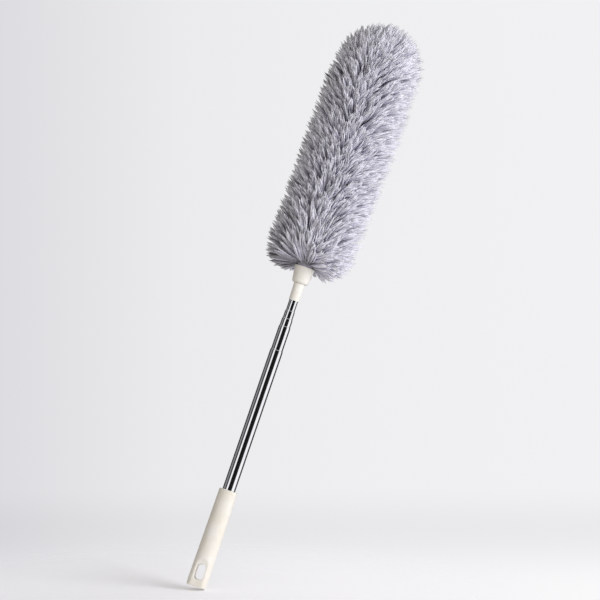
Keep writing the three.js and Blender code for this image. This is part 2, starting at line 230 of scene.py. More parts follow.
# Lamp: one broad lamp that stands low on the right, in front of the object. The steel mirrors the panels of
# the backdrop in its stead, so reflections leave it out.
LAMP_TURN = radians(50)
LAMP_RISE = radians(6)
LAMP_STRENGTH = 1.94
LAMP_SPREAD = radians(40)
LAMP_COLOUR = (0.96, 0.985, 1.04)
lamp_side = to_camera * cos(LAMP_TURN) + level_right * sin(LAMP_TURN)
lamp_from = lamp_side * cos(LAMP_RISE) + floor_up * sin(LAMP_RISE)
lamp_data = bpy.data.lights.new("key_lamp", "SUN")
lamp_data.energy = LAMP_STRENGTH
lamp_data.angle = LAMP_SPREAD
lamp_data.color = LAMP_COLOUR
lamp = bpy.data.objects.new("key_lamp", lamp_data)
lamp.rotation_mode = "QUATERNION"
lamp.rotation_quaternion = lamp_from.to_track_quat("Z", "Y")
lamp.location = lamp_from
lamp.visible_glossy = False
scene.collection.objects.link(lamp)

# Floor: a pale seamless floor that fades into the backdrop and takes the grip's shadow.
# The grip leans over on the edge of its end, so the floor slopes in the duster's own frame.
MM = 0.001
FLOOR_RADIUS = 0.5
FLOOR_SIDES = 96
FLOOR_COLOUR = srgb(252, 251, 254)
FADE_FROM = 0.25 * FLOOR_RADIUS
GLOW_REACH = (-0.4 * FLOOR_RADIUS, 0.5 * FLOOR_RADIUS)
GLOW_STRENGTH = (0.03, 0.15)
TOWARDS_LAMP = 0.4
FLOOR_DROP = 0.15 * MM
grip_low, grip_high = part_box("grip")
downhill = Vector((-floor_up.x, -floor_up.y, 0)).normalized()
floor_point = downhill * grip_high.x - floor_up * FLOOR_DROP

floor_mesh = bpy.data.meshes.new("floor")
turn_to_floor = Vector((0, 0, 1)).rotation_difference(floor_up)
floor_rim = [
    Vector((cos(2 * pi * i / FLOOR_SIDES), sin(2 * pi * i / FLOOR_SIDES), 0)) * FLOOR_RADIUS
    for i in range(FLOOR_SIDES)
]
floor_mesh.from_pydata([turn_to_floor @ p for p in floor_rim], [], [tuple(range(FLOOR_SIDES))])
floor = bpy.data.objects.new("floor", floor_mesh)
floor.location = floor_point
scene.collection.objects.link(floor)

floor_material = bpy.data.materials.new("pale_floor")
floor_material.use_nodes = True
tree = floor_material.node_tree
tree.nodes.clear()
place = add_node(tree, "ShaderNodeTexCoord").outputs["Object"]
from_foot = add_node(tree, "ShaderNodeVectorMath", {0: place}, operation="LENGTH").outputs["Value"]
faded = remap(tree, from_foot, FADE_FROM, FLOOR_RADIUS, 0, 1)
underside = add_node(tree, "ShaderNodeNewGeometry").outputs["Backfacing"]
see_through = calculate(tree, "MAXIMUM", faded, underside)
by_camera = add_node(tree, "ShaderNodeLightPath").outputs["Is Camera Ray"]
tipped = (floor_up + lamp_from * TOWARDS_LAMP).normalized()
facing_lamp = add_node(tree, "ShaderNodeCombineXYZ", dict(enumerate(tipped))).outputs[0]
in_light = {"Color": FLOOR_COLOUR, "Normal": facing_lamp}
lit_floor = add_node(tree, "ShaderNodeBsdfDiffuse", in_light).outputs[0]
glow_here = remap(tree, dot_with(tree, place, level_right), *GLOW_REACH, *GLOW_STRENGTH)
glow_strength = times(tree, by_camera, glow_here)
in_glow = {"Color": FLOOR_COLOUR, "Strength": glow_strength}
glow = add_node(tree, "ShaderNodeEmission", in_glow).outputs[0]
pale = add_node(tree, "ShaderNodeAddShader", {0: lit_floor, 1: glow}).outputs[0]
clear = add_node(tree, "ShaderNodeBsdfTransparent").outputs[0]
mixed = add_node(tree, "ShaderNodeMixShader", {0: see_through, 1: pale, 2: clear}).outputs[0]
add_node(tree, "ShaderNodeOutputMaterial", {"Surface": mixed})
floor_mesh.materials.append(floor_material)

# Grip: one ivory moulding, slightly tapered, flattened front and back at its lower end, where a rounded
# slot goes through it to hang it by. The pole is pressed into its bore from above.
GRIP_LENGTH = grip_high.z - grip_low.z
GRIP_END_RADIUS = grip_high.x
GRIP_TOP_RADIUS = 13.2 * MM
GRIP_EDGE = 1.6 * MM
GRIP_BORE = 9.4 * MM
BORE_EDGE = 0.5 * MM
BORE_FLOOR = 37 * MM
FLAT_FROM_AXIS = 11.2 * MM
FLAT_TOP = 32 * MM
FLAT_RUNOUT = 9 * MM
RUNOUT_DEPTH = 4 * MM
FLAT_SOFTNESS = 0.3 * MM
GRIP_SIDES = 144
END_RINGS = (0.35, 0.7)
FLAT_ROWS = (GRIP_EDGE + 1.5 * MM, FLAT_TOP + FLAT_RUNOUT + 3 * MM)
FLAT_ROW_STEP = 1.2 * MM
BARREL_ROWS = 16
BELOW_EDGE = 2 * MM
ABOVE_FLATS = 5 * MM
SLOT_WIDTH = 13.6 * MM
SLOT_HEIGHT = 22 * MM
SLOT_CORNER = 5.6 * MM
SLOT_MIDDLE = 21 * MM
SLOT_ROUNDING = 0.8 * MM
CORNER_STEPS = 12
MOUTH_DEGREES = (0, 18, 36, 54, 72)
PAST_THE_FLAT = 0.5 * MM
SHARPEST_SMOOTH = radians(38)
IVORY = srgb(239, 234, 225)
IVORY_SHADE = srgb(233, 226, 213)
IVORY_FLECK = srgb(214, 201, 178)
IVORY_WORN = srgb(248, 244, 237)
IVORY_ROUGHNESS = 0.42
IVORY_GRAIN = 700.0
FLECK_EDGE = 0.07
FLECK_STRENGTH = 0.28
MOTTLE_COARSER = 0.05
MOTTLE_RANGE = (0.35, 0.65)
MOTTLE_POLISH = 0.05
PEBBLES_FINER = 1.7
PEBBLE_STRENGTH = 0.12
PEBBLE_HEIGHT = 0.2 * MM
WORN_FACING = (0.90, 0.995)
WORN_PATCHES = (0.35, 0.7)
LEAST_WORN = 0.3
WEAR_STRENGTH = 0.45
WEAR_POLISH = 0.08
SATIN_SHINE = 0.6


def rounding(centre_radius, centre_height, radius, start, end, steps=6):
    """Points (radius, height) along an arc of a turned section, between two angles in degrees."""
    angles = [radians(start + (end - start) * step / steps) for step in range(steps + 1)]
    return [(centre_radius + radius * cos(a), centre_height + radius * sin(a)) for a in angles]


def object_from(name, vertices, faces):
    """A smooth-shaded mesh object whose edges stay crisp where its faces meet at a steep angle."""
    mesh = bpy.data.meshes.new(name)
    mesh.from_pydata(vertices, [], faces)
    mesh.validate()
    mesh.shade_smooth()
    mesh.set_sharp_from_angle(angle=SHARPEST_SMOOTH)
    made = bpy.data.objects.new(name, mesh)
    scene.collection.objects.link(made)
    return made


def bridge(faces, first, second):
    """Faces between two rings of vertex numbers, either of which may be a single point."""
    count = max(len(first), len(second))
    for i in range(count):
        j = (i + 1) % count
        if len(first) == 1:
            faces.append((first[0], second[j], second[i]))
        elif len(second) == 1:
            faces.append((first[i], first[j], second[0]))
        else:
            faces.append((first[i], first[j], second[j], second[i]))


def skinned(rings, closed=False):
    """Vertices and faces of a skin over a row of rings of points. A closed row ends where it begins."""
    vertices, faces, numbers = [], [], []
    for ring in rings:
        numbers.append(list(range(len(vertices), len(vertices) + len(ring))))
        vertices.extend(ring)
    if closed:
        numbers.append(numbers[0])
    for first, second in zip(numbers, numbers[1:]):
        bridge(faces, first, second)
    return vertices, faces


def flat_distance(height):
    """How far the grip's front is from its axis: flat below, then running out to the round."""
    beyond = max(0.0, (height - FLAT_TOP) / FLAT_RUNOUT)
    return FLAT_FROM_AXIS + RUNOUT_DEPTH * beyond**2


def grip_ring(radius, height, inset):
    """One ring of the grip's skin: round, with its front and back pressed flat."""
    limit = flat_distance(height) - inset
    ring = []
    for i in range(GRIP_SIDES):
        angle = 2 * pi * (i + 0.5) / GRIP_SIDES
        depth = abs(radius * sin(angle))
        pressed = -FLAT_SOFTNESS * np.logaddexp(-depth / FLAT_SOFTNESS, -limit / FLAT_SOFTNESS)
        ring.append((radius * cos(angle), max(0.0, pressed) * (1 if angle < pi else -1), height))
    return ring


def grip_skin():
    """The grip's whole skin, from the middle of its end, up the outside and down into the bore."""
    end_centre = GRIP_END_RADIUS - GRIP_EDGE
    outside = rounding(end_centre, GRIP_EDGE, GRIP_EDGE, -90, 0)
    outside += [(None, height) for height in np.arange(*FLAT_ROWS, FLAT_ROW_STEP)]
    barrel_foot = outside[-1][1] + ABOVE_FLATS
    barrel_top = GRIP_LENGTH - GRIP_EDGE - BELOW_EDGE
    outside += [(None, height) for height in np.linspace(barrel_foot, barrel_top, BARREL_ROWS)]
    top_centre = GRIP_TOP_RADIUS - GRIP_EDGE
    outside += rounding(top_centre, GRIP_LENGTH - GRIP_EDGE, GRIP_EDGE, 0, 90)
    rings = []
    for radius, height in outside:
        share = (height - GRIP_EDGE) / (GRIP_LENGTH - 2 * GRIP_EDGE)
        full = GRIP_END_RADIUS + (GRIP_TOP_RADIUS - GRIP_END_RADIUS) * min(1.0, max(0.0, share))
        radius = full if radius is None else radius
        rings.append(grip_ring(radius, height, full - radius))
    end_rings = [[(x * s, y * s, z) for x, y, z in rings[0]] for s in END_RINGS]
    bore = rounding(GRIP_BORE + BORE_EDGE, GRIP_LENGTH - BORE_EDGE, BORE_EDGE, 90, 180, 3)
    bore += [(GRIP_BORE, BORE_FLOOR)]
    inside = [grip_ring(radius, height, -GRIP_END_RADIUS) for radius, height in bore]
    return skinned([[(0, 0, 0)], *end_rings, *rings, *inside, [(0, 0, BORE_FLOOR)]])


def slot_outline(spread, depth):
    """The slot's rounded oblong, widened by spread, as a ring of points at one depth."""
    points = []
    corner = SLOT_CORNER + spread
    across, up = SLOT_WIDTH / 2 - SLOT_CORNER, SLOT_HEIGHT / 2 - SLOT_CORNER
    for turn, (right, top) in enumerate([(1, 1), (-1, 1), (-1, -1), (1, -1)]):
        for step in range(CORNER_STEPS + 1):
            angle = (turn + step / CORNER_STEPS) * pi / 2
            x = right * across + corner * cos(angle)
            points.append((x, depth, SLOT_MIDDLE + top * up + corner * sin(angle)))
    return points


def slot_cutter():
    """What is taken out for the slot: straight through, with its two mouths rounded."""
    mouth = [(0.0, 0.0)]
    for degrees in MOUTH_DEGREES:
        angle = radians(degrees)
        depth = FLAT_FROM_AXIS - SLOT_ROUNDING + SLOT_ROUNDING * sin(angle)
        mouth.append((depth, SLOT_ROUNDING * (1 - cos(angle))))
    depth, spread = mouth[-1]
    mouth.append((depth + PAST_THE_FLAT, spread + PAST_THE_FLAT * tan(angle)))
    layers = [(-depth, spread) for depth, spread in reversed(mouth[1:])] + mouth[1:]
    vertices, sides = skinned([slot_outline(spread, depth) for depth, spread in layers])
    around_slot = len(vertices) // len(layers)
    front = tuple(range(around_slot))
    back = tuple(reversed(range(len(vertices) - around_slot, len(vertices))))
    return object_from("slot_cutter", vertices, [front, *sides, back])


def settled(made):
    """The object's mesh with its modifiers worked in."""
    shape = made.evaluated_get(bpy.context.evaluated_depsgraph_get())
    mesh = bpy.data.meshes.new_from_object(shape)
    made.modifiers.clear()
    made.data = mesh
    mesh.shade_smooth()
    mesh.set_sharp_from_angle(angle=SHARPEST_SMOOTH)


def node_group(name, inputs, outputs):
    """An empty shader group with float inputs and named outputs, and its two end nodes."""
    group = bpy.data.node_groups.new(name, "ShaderNodeTree")
    for label, value in inputs.items():
        socket = group.interface.new_socket(name=label, in_out="INPUT", socket_type="NodeSocketFloat")
        socket.default_value = value
    for label in outputs:
        group.interface.new_socket(name=label, in_out="OUTPUT", socket_type="NodeSocketFloat")
    return group, add_node(group, "NodeGroupInput").outputs, add_node(group, "NodeGroupOutput")


def noise(tree, place, scale, detail=3.0, roughness=0.55):
    """A noise texture's value."""
    inputs = {"Vector": place, "Scale": scale, "Detail": detail, "Roughness": roughness}
    return add_node(tree, "ShaderNodeTexNoise", inputs).outputs["Fac"]


# Moulded grain: flecks, slow mottling and a fine pebbled height, all at one scale
moulded_grain, given, wanted = node_group(
    "moulded_grain", {"Scale": 900.0, "Fleck Size": 0.62}, ["Fleck", "Mottle", "Height"]
)
tree = moulded_grain
place = add_node(tree, "ShaderNodeTexCoord").outputs["Object"]
fleck_noise = noise(tree, place, given["Scale"], 2.0)
fleck_edge = calculate(tree, "ADD", given["Fleck Size"], FLECK_EDGE)
fleck = remap(tree, fleck_noise, given["Fleck Size"], fleck_edge, 0, 1)
mottle_scale = times(tree, given["Scale"], MOTTLE_COARSER)
mottle = remap(tree, noise(tree, place, mottle_scale), *MOTTLE_RANGE, 0, 1)
pebble_scale = times(tree, given["Scale"], PEBBLES_FINER)
pebbles = noise(tree, place, pebble_scale, 1.0)
fill(wanted, {"Fleck": fleck, "Mottle": mottle, "Height": pebbles})

# Edge wear: where a piece's edges are rubbed smooth and pale
edge_wear, given, wanted = node_group("edge_wear", {"Radius": 1.2 * MM, "Break Up": 160.0}, ["Mask"])
tree = edge_wear
true_normal = add_node(tree, "ShaderNodeNewGeometry").outputs["Normal"]
softened = add_node(tree, "ShaderNodeBevel", {"Radius": given["Radius"]}, samples=4).outputs[0]
both_normals = {0: softened, 1: true_normal}
alike = add_node(tree, "ShaderNodeVectorMath", both_normals, operation="DOT_PRODUCT").outputs["Value"]
on_edge = remap(tree, alike, *WORN_FACING, 1, 0)
place = add_node(tree, "ShaderNodeTexCoord").outputs["Object"]
patches = remap(tree, noise(tree, place, given["Break Up"]), *WORN_PATCHES, LEAST_WORN, 1)
fill(wanted, {"Mask": times(tree, on_edge, patches)})


def use_group(tree, group, inputs=None):
    """The outputs of one use of a shader group, with its own values."""
    return add_node(tree, "ShaderNodeGroup", inputs, node_tree=group).outputs


def new_material(name):
    """A material with an empty Principled shader, and its node tree."""
    material = bpy.data.materials.new(name)
    material.use_nodes = True
    shader = material.node_tree.nodes["Principled BSDF"]
    return material, material.node_tree, shader


def bump(tree, height, strength, distance):
    """A normal that is tipped by a height."""
    inputs = {"Height": height, "Strength": strength, "Distance": distance}
    return add_node(tree, "ShaderNodeBump", inputs).outputs["Normal"]


def moulded_plastic(name, colour, shade, fleck_colour, worn, roughness, grain_scale):
    """Injection-moulded plastic: mottled, finely flecked, with rubbed edges and a satin skin."""
    material, tree, shader = new_material(name)
    grain = use_group(tree, moulded_grain, {"Scale": grain_scale})
    worn_mask = use_group(tree, edge_wear)["Mask"]
    mottled = mix_colours(tree, grain["Mottle"], colour, shade)
    fleck_share = times(tree, grain["Fleck"], FLECK_STRENGTH)
    flecked = mix_colours(tree, fleck_share, mottled, fleck_colour)
    worn_share = times(tree, worn_mask, WEAR_STRENGTH)
    painted = mix_colours(tree, worn_share, flecked, worn)
    skin = remap(tree, grain["Mottle"], 0, 1, roughness - MOTTLE_POLISH, roughness + MOTTLE_POLISH)
    skin = calculate(tree, "SUBTRACT", skin, times(tree, worn_mask, WEAR_POLISH))
    pebbled = bump(tree, grain["Height"], PEBBLE_STRENGTH, PEBBLE_HEIGHT)
    fill(shader, {"Base Color": painted, "Roughness": skin, "Normal": pebbled})
    fill(shader, {"Specular IOR Level": SATIN_SHINE})
    return material


ivory_plastic = moulded_plastic(
    "ivory_plastic", IVORY, IVORY_SHADE, IVORY_FLECK, IVORY_WORN, IVORY_ROUGHNESS, IVORY_GRAIN
)
grip = object_from("grip_moulding", *grip_skin())
slot_block = slot_cutter()
cut = grip.modifiers.new("slot", "BOOLEAN")
cut.object = slot_block
cut.solver = "EXACT"
settled(grip)
bpy.data.objects.remove(slot_block)
grip.data.materials.append(ivory_plastic)
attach(grip, "grip")
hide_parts("grip")

# Plug and bushes: off-white nylon. The plug closes the foot of the widest tube inside the grip, and each
# sliding tube has a bush on its foot that runs inside the next wider tube and stops it pulling out.
nylon = moulded_plastic(
    "nylon",
    colour=srgb(231, 229, 221),
    shade=srgb(218, 214, 203),
    fleck_colour=srgb(203, 198, 184),
    worn=srgb(240, 239, 234),
    roughness=0.5,
    grain_scale=1200.0,
)


def finish_node(node, material):
    """Gives a CAD piece whose shape stays its finish."""
    slots = frame["nodes"][node].data.materials
    slots.clear()
    slots.append(material)


SLIDING_TUBES = (2, 3, 4, 5)
finish_node("pole_anchor_plug", nylon)
for number in SLIDING_TUBES:
    finish_node(f"tube_{number}_bush", nylon)

# Tubes: five lengths of bright stainless tube, drawn thin, each rolled in at its upper end so that it grips
# the next one. They are polished along their length, which leaves fine lines and faint smears.
TUBES = (1, 2, 3, 4, 5)
TUBE_BODIES = {1: "grip", 2: "section_2", 3: "section_3", 4: "section_4", 5: "section_5"}
TUBE_WALL = 0.4 * MM
TUBE_SIDES = 96
TUBE_ROWS = 12
LIP_HEIGHT = 2.2 * MM
LIP_GAP = 0.1 * MM
LIP_STEPS = 7
ALONG_THE_POLE = (1.0, 1.0, 0.004)
NOISE_RANGE = (0.3, 0.7)
LINE_HEIGHT = 0.05 * MM
SMEAR_SCALE = 45.0
SMEAR_RANGE = (0.42, 0.68)
SMEAR_STRENGTH = 0.5
SMEAR_DULLS = 0.03


def turned(name, profile, sides):
    """A body turned about Z from (radius, height) points. A profile off the axis closes on itself."""
    angles = [2 * pi * i / sides for i in range(sides)]
    rings = []
    for radius, height in profile:
        ring = [(radius * cos(a), radius * sin(a), height) for a in angles]
        rings.append(ring if radius > 0 else ring[:1])
    return object_from(name, *skinned(rings, closed=profile[0][0] > 0))


def tube_profile(number):
    """A tube's section: up the outside, over the rolled lip, and down the bore."""
    low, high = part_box(f"tube_{number}")
    outside, foot, rim = high.x, low.z, high.z
    bore = outside - TUBE_WALL
    heights = np.linspace(foot, rim - LIP_HEIGHT, TUBE_ROWS)
    wall = [(outside, height) for height in heights]
    if number == TUBES[-1]:
        return [*wall, (outside, rim), (bore, rim), (bore, foot)]
    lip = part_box(f"tube_{number + 1}")[1].x + LIP_GAP
    angles = [pi / 2 * step / LIP_STEPS for step in range(1, LIP_STEPS + 1)]
    rolled = [(lip + (outside - lip) * cos(a), rim - LIP_HEIGHT * (1 - sin(a))) for a in angles]
    return [*wall, *rolled, (lip, rim - LIP_HEIGHT / 2), (bore, rim - LIP_HEIGHT), (bore, foot)]


# Drawn lines: fine lines along the pole, and slow smears across it
drawn_lines, given, wanted = node_group("drawn_lines", {"Fineness": 3000.0}, ["Line", "Smear"])
tree = drawn_lines
place = add_node(tree, "ShaderNodeTexCoord").outputs["Object"]
stretch = {0: place, 1: ALONG_THE_POLE}
stretched = add_node(tree, "ShaderNodeVectorMath", stretch, operation="MULTIPLY").outputs[0]
line = noise(tree, stretched, given["Fineness"], 2.0)
smear = remap(tree, noise(tree, place, SMEAR_SCALE, 4.0), *SMEAR_RANGE, 0, 1)
fill(wanted, {"Line": line, "Smear": smear})


def drawn_metal(name, colour, smear_colour, smoothest, roughest, line_depth):
    """Drawn and polished metal: mirror-bright, with fine lines along it and faint smears."""
    material, tree, shader = new_material(name)
    lines = use_group(tree, drawn_lines)
    smear_share = times(tree, lines["Smear"], SMEAR_STRENGTH)
    smeared = mix_colours(tree, smear_share, colour, smear_colour)
    polish = remap(tree, lines["Line"], *NOISE_RANGE, smoothest, roughest)
    smear_dulls = times(tree, lines["Smear"], SMEAR_DULLS)
    polish = calculate(tree, "ADD", polish, smear_dulls)
    lined = bump(tree, lines["Line"], line_depth, LINE_HEIGHT)
    fill(shader, {"Base Color": smeared, "Roughness": polish, "Normal": lined, "Metallic": 1.0})
    return material


polished_steel = drawn_metal(
    "polished_steel",
    colour=srgb(222, 223, 226),
    smear_colour=srgb(206, 208, 213),
    smoothest=0.04,
    roughest=0.10,
    line_depth=0.03,
)
for number in TUBES:
    tube = turned(f"steel_tube_{number}", tube_profile(number), TUBE_SIDES)
    tube.data.materials.append(polished_steel)
    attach(tube, TUBE_BODIES[number])
    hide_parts(f"tube_{number}")

# Friction springs: split rings of thin bronze, one above each bush, that press the sliding tube against the
# wider one and hold it where it is set.
bronze = drawn_metal(
    "bronze",
    colour=srgb(190, 150, 88),
    smear_colour=srgb(158, 116, 62),
    smoothest=0.25,
    roughest=0.4,
    line_depth=0.1,
)
for number in SLIDING_TUBES:
    finish_node(f"tube_{number}_friction_spring", bronze)

# Neck: a small ivory socket pushed on the thinnest tube, with a spigot above that the head plugs on to.
# Like the collar, it is moulded in a paler ivory than the grip.
NECK_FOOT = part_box("neck_socket")[0].z
SPIGOT_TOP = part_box("neck_socket")[1].z
NECK_SHOULDER = NECK_FOOT + 25 * MM
NECK_FOOT_RADIUS = 7.2 * MM
NECK_TOP_RADIUS = 7.8 * MM
NECK_EDGE = 0.4 * MM
NECK_BORE = 6.6 * MM
NECK_BORE_TOP = 437.3 * MM
SPIGOT_RADIUS = 5.6 * MM
SPIGOT_EDGE = 1 * MM
MOULDING_SIDES = 96
HEAD_IVORY = srgb(250, 246, 239)
HEAD_IVORY_SHADE = srgb(246, 241, 231)
head_ivory = moulded_plastic(
    "head_ivory", HEAD_IVORY, HEAD_IVORY_SHADE, IVORY_FLECK, IVORY_WORN, IVORY_ROUGHNESS, IVORY_GRAIN
)
neck_profile = [
    (0, NECK_BORE_TOP),
    (NECK_BORE, NECK_BORE_TOP),
    (NECK_BORE, NECK_FOOT + NECK_EDGE / 2),
    (NECK_BORE + NECK_EDGE / 2, NECK_FOOT),
    *rounding(NECK_FOOT_RADIUS - NECK_EDGE, NECK_FOOT + NECK_EDGE, NECK_EDGE, -90, 0),
    *rounding(NECK_TOP_RADIUS - NECK_EDGE / 2, NECK_SHOULDER - NECK_EDGE / 2, NECK_EDGE / 2, 0, 90, 4),
    (SPIGOT_RADIUS, NECK_SHOULDER),
    *rounding(SPIGOT_RADIUS - SPIGOT_EDGE, SPIGOT_TOP - SPIGOT_EDGE, SPIGOT_EDGE, 0, 90, 4),
    (0, SPIGOT_TOP),
]
neck = turned("neck_moulding", neck_profile, MOULDING_SIDES)
neck.data.materials.append(head_ivory)
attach(neck, "section_5")
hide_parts("neck_socket")

# Collar: an ivory cup that flares upwards. The neck's spigot goes in from below, and a boss inside the cup
# holds the core of the head, with the knitted backing tucked in round it.
COLLAR_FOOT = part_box("head_collar")[0].z
BOSS_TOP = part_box("head_collar")[1].z
COLLAR_RIM = COLLAR_FOOT + 24 * MM
COLLAR_FOOT_RADIUS = 11.9 * MM
COLLAR_TOP_RADIUS = 14.6 * MM
COLLAR_EDGE = 3.8 * MM
COLLAR_WALL = 1.3 * MM
RIM_ROUND = COLLAR_WALL / 2
CUP_FLOOR = COLLAR_RIM - 8.5 * MM
CUP_FLOOR_RADIUS = 12.2 * MM
BOSS_RADIUS = 8.2 * MM
SPIGOT_HOLE = 5.9 * MM
HOLE_TOP = SPIGOT_TOP + 0.3 * MM
WEB_TOP = HOLE_TOP + 1.3 * MM
WIRE_HOLE = 2.8 * MM
collar_profile = [
    (0, HOLE_TOP),
    (SPIGOT_HOLE, HOLE_TOP),
    (SPIGOT_HOLE, COLLAR_FOOT + NECK_EDGE / 2),
    (SPIGOT_HOLE + NECK_EDGE / 2, COLLAR_FOOT),
    *rounding(COLLAR_FOOT_RADIUS - COLLAR_EDGE, COLLAR_FOOT + COLLAR_EDGE, COLLAR_EDGE, -90, 0, 8),
    *rounding(COLLAR_TOP_RADIUS - RIM_ROUND, COLLAR_RIM - RIM_ROUND, RIM_ROUND, 0, 180, 8),
    (CUP_FLOOR_RADIUS, CUP_FLOOR),
    (BOSS_RADIUS, CUP_FLOOR),
    (BOSS_RADIUS, BOSS_TOP),
    (WIRE_HOLE, BOSS_TOP),
    (WIRE_HOLE, WEB_TOP),
    (0, WEB_TOP),
]
collar = turned("collar_moulding", collar_profile, MOULDING_SIDES)
collar.data.materials.append(head_ivory)
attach(collar, "head_base")
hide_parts("head_collar")

# Core: a bendable wire up the middle of the head, in a soft plastic sleeve, with a nylon cap on its upper
# end so that it does not come through the fibres.
CORE_LENGTHS = (1, 2, 3, 4)
core_wire = drawn_metal(
    "core_wire",
    colour=srgb(150, 153, 156),
    smear_colour=srgb(118, 120, 124),
    smoothest=0.3,
    roughest=0.45,
    line_depth=0.1,
)
sleeve_plastic = moulded_plastic(
    "sleeve_plastic",
    colour=srgb(214, 210, 207),
    shade=srgb(196, 191, 190),
    fleck_colour=srgb(176, 170, 170),
    worn=srgb(226, 223, 221),
    roughness=0.75,
    grain_scale=1500.0,
)
for number in CORE_LENGTHS:
    finish_node(f"core_wire_{number}", core_wire)
    finish_node(f"core_sleeve_{number}", sleeve_plastic)
finish_node("core_cap", nylon)

# Knitted backing: a lavender-grey knitted tube drawn over the core and tucked into the collar's cup. The
# fibres are knotted into it. It bends with the core, so it is cut between the bends.
BACKING_BORE = 9.3 * MM
BACKING_RADIUS = 11.3 * MM
BACKING_FOOT = 460.6 * MM
BACKING_SHOULDER = 782 * MM
BACKING_SIDES = 48
KNIT_STEP = 3 * MM
COURSES = 2 * pi / (1.7 * MM)
WALES = 44
KNIT = srgb(214, 210, 224)
KNIT_HOLLOW_PAINTED_SHADE = srgb(186, 182, 197)
STITCH_RANGE = (-0.6, 0.8)
STITCH_ROUGHNESS = (0.98, 0.85)
STITCH_STRENGTH = 0.6
STITCH_HEIGHT = 0.6 * MM
KNIT_SHEEN = 0.3
DOME_STEPS = 8
bends = [joint["pos_m"][2] for joint in frame["joints"] if joint["name"].startswith("head_bend")]

knitted_backing, tree, shader = new_material("knitted_backing")
place = add_node(tree, "ShaderNodeTexCoord").outputs["Object"]
x, y, z = add_node(tree, "ShaderNodeSeparateXYZ", {0: place}).outputs
wale = times(tree, calculate(tree, "ARCTAN2", y, x), WALES)
course = times(tree, z, COURSES)
loops = times(tree, calculate(tree, "SINE", wale), calculate(tree, "SINE", course))
stitch = remap(tree, loops, *STITCH_RANGE, 0, 1)
# The knit is painted darker in the hollows between its loops, as shade
knit_looks = {
    "Base Color": mix_colours(tree, stitch, KNIT_HOLLOW_PAINTED_SHADE, KNIT),
    "Roughness": remap(tree, stitch, 0, 1, *STITCH_ROUGHNESS),
    "Normal": bump(tree, stitch, STITCH_STRENGTH, STITCH_HEIGHT),
    "Sheen Weight": KNIT_SHEEN,
}
fill(shader, knit_looks)


def backing_profile(low, high, closed_above):
    """A length of the knitted tube, open at both ends or closed by a dome."""
    steps = max(2, round((high - low) / KNIT_STEP))
    heights = list(np.linspace(low, high, steps + 1))
    outside = [(BACKING_RADIUS, height) for height in heights]
    inside = [(BACKING_BORE, height) for height in reversed(heights)]
    if not closed_above:
        return outside + inside
    dome = rounding(0, high, BACKING_RADIUS, 0, 90, DOME_STEPS)[1:-1]
    hollow = rounding(0, high, BACKING_BORE, 90, 0, DOME_STEPS)[1:-1]
    return [(0, high + BACKING_BORE), *hollow, *inside, *outside, *dome, (0, high + BACKING_RADIUS)]


middles = [(below + above) / 2 for below, above in zip(bends, bends[1:])]
backing_cuts = [BACKING_FOOT, *middles, BACKING_SHOULDER]
for number, (low, high) in enumerate(zip(backing_cuts, backing_cuts[1:])):
    last = number == len(bends) - 1
    backing = turned(f"knitted_backing_{number + 1}", backing_profile(low, high, last), BACKING_SIDES)
    backing.data.materials.append(knitted_backing)
    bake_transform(backing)

# Fibre pile: thousands of soft lavender-grey microfibres in pointed tufts, knotted into the backing. They
# stand out from it, brushed upwards along the sides, drooping over the collar and fanned out at the crown.
# Sizes are in millimetres here, and left and right are those of the photograph.
SEED = 11
TUFTS = 2800
FIBRES = 6
GOLDEN_ANGLE = pi * (3 - sqrt(5))
# The head's outline, from the lowest tips round the underside and up the side to the crown
FIRST_TIP = (47.0, 468.0)
HEAD_RADIUS = 66.0
UNDERSIDE_CORNER = (HEAD_RADIUS, 471.0)
UNDERSIDE_STEPS = 25
FULL_WIDTH_FROM = 500.0
SIDE_STEPS = 40
HEAD_TOP = 834.0
DOME_CENTRE = HEAD_TOP - HEAD_RADIUS
# Where along the outline a tip lies, and where along the backing its root is
TIP_MARKS = [0, 47, 97, 317, 420]
ROOT_MARKS = [0, 20, 74, 288, 326]
FIRST_ROOT = 472.0
ROOT_RADIUS = BACKING_RADIUS / MM - 1.0
SHOULDER = BACKING_SHOULDER / MM
# Tips gather into loose clumps and stray a little, less so on the left, and some tufts are short
CLUMP_WAVES = 12
CLUMP_ROUNDS = 14
CLUMP_PITCH = 0.2
CLUMP_REACH = 3.2
TIP_STRAYS = 2.5
NARROWEST_TURN = 15
ROOT_STRAYS = 0.1
LEFT_EVEN = 0.7
SHORT_SHARE = 0.3
SHORTER_BY = 0.12
LENGTHS = (0.95, 1.02)
LEFT_SHORTER = 0.02
# Tips are brushed up and sag. The lowest are lifted clear of the collar in front and hang elsewhere
SIDE_COMB = 9.0
FRONT_COMB = 13.0
COMB_WAY = radians(-15)
COMBED_FROM = 60.0
FRONT_LIFT = 26.0
LIFT_WAY = radians(-20)
LIFT_UNTIL = 120.0
HANG = 6.0
CLEAR_WAY = radians(40)
SAG = 4.5
# The foot leans to the left, the right side is fuller, and the crown tips over to the right
FOOT_SHIFT = 6.0
FULLNESS_AT = [560, 690, 750, 800]
FULLNESS = [2, 6, 5, 0]
CROWN_SHIFT = 6.0
CROWN_SHIFT_FROM = 735.0
CROWN_TRIM = 8.0
# A tuft's fibres bow and spread, and gather to closer points on the left, at the foot and at the crown
BOW = 0.42
CURL_SIDEWAYS = 5.0
CURL_UPWARDS = 3.0
TUFT_SPREAD_AT = [0.0, 0.6, 1.0]
TUFT_SPREAD = [1.2, 2.8, 3.0]
TUFT_WIDTH = 1.3
TUFT_DEPTH = 0.75
GATHER = 0.65
GATHER_FROM = 0.6
GATHER_THICKER = 0.15
FIBRE_ENDS = (0.92, 1.03)
OUTER_SHORTER = 0.05
STRAY_SHARE = 0.15
STRAY_REACH = (1.3, 2.2)
RIM_CLEARANCE = 0.8
RIM_MARGIN = 1
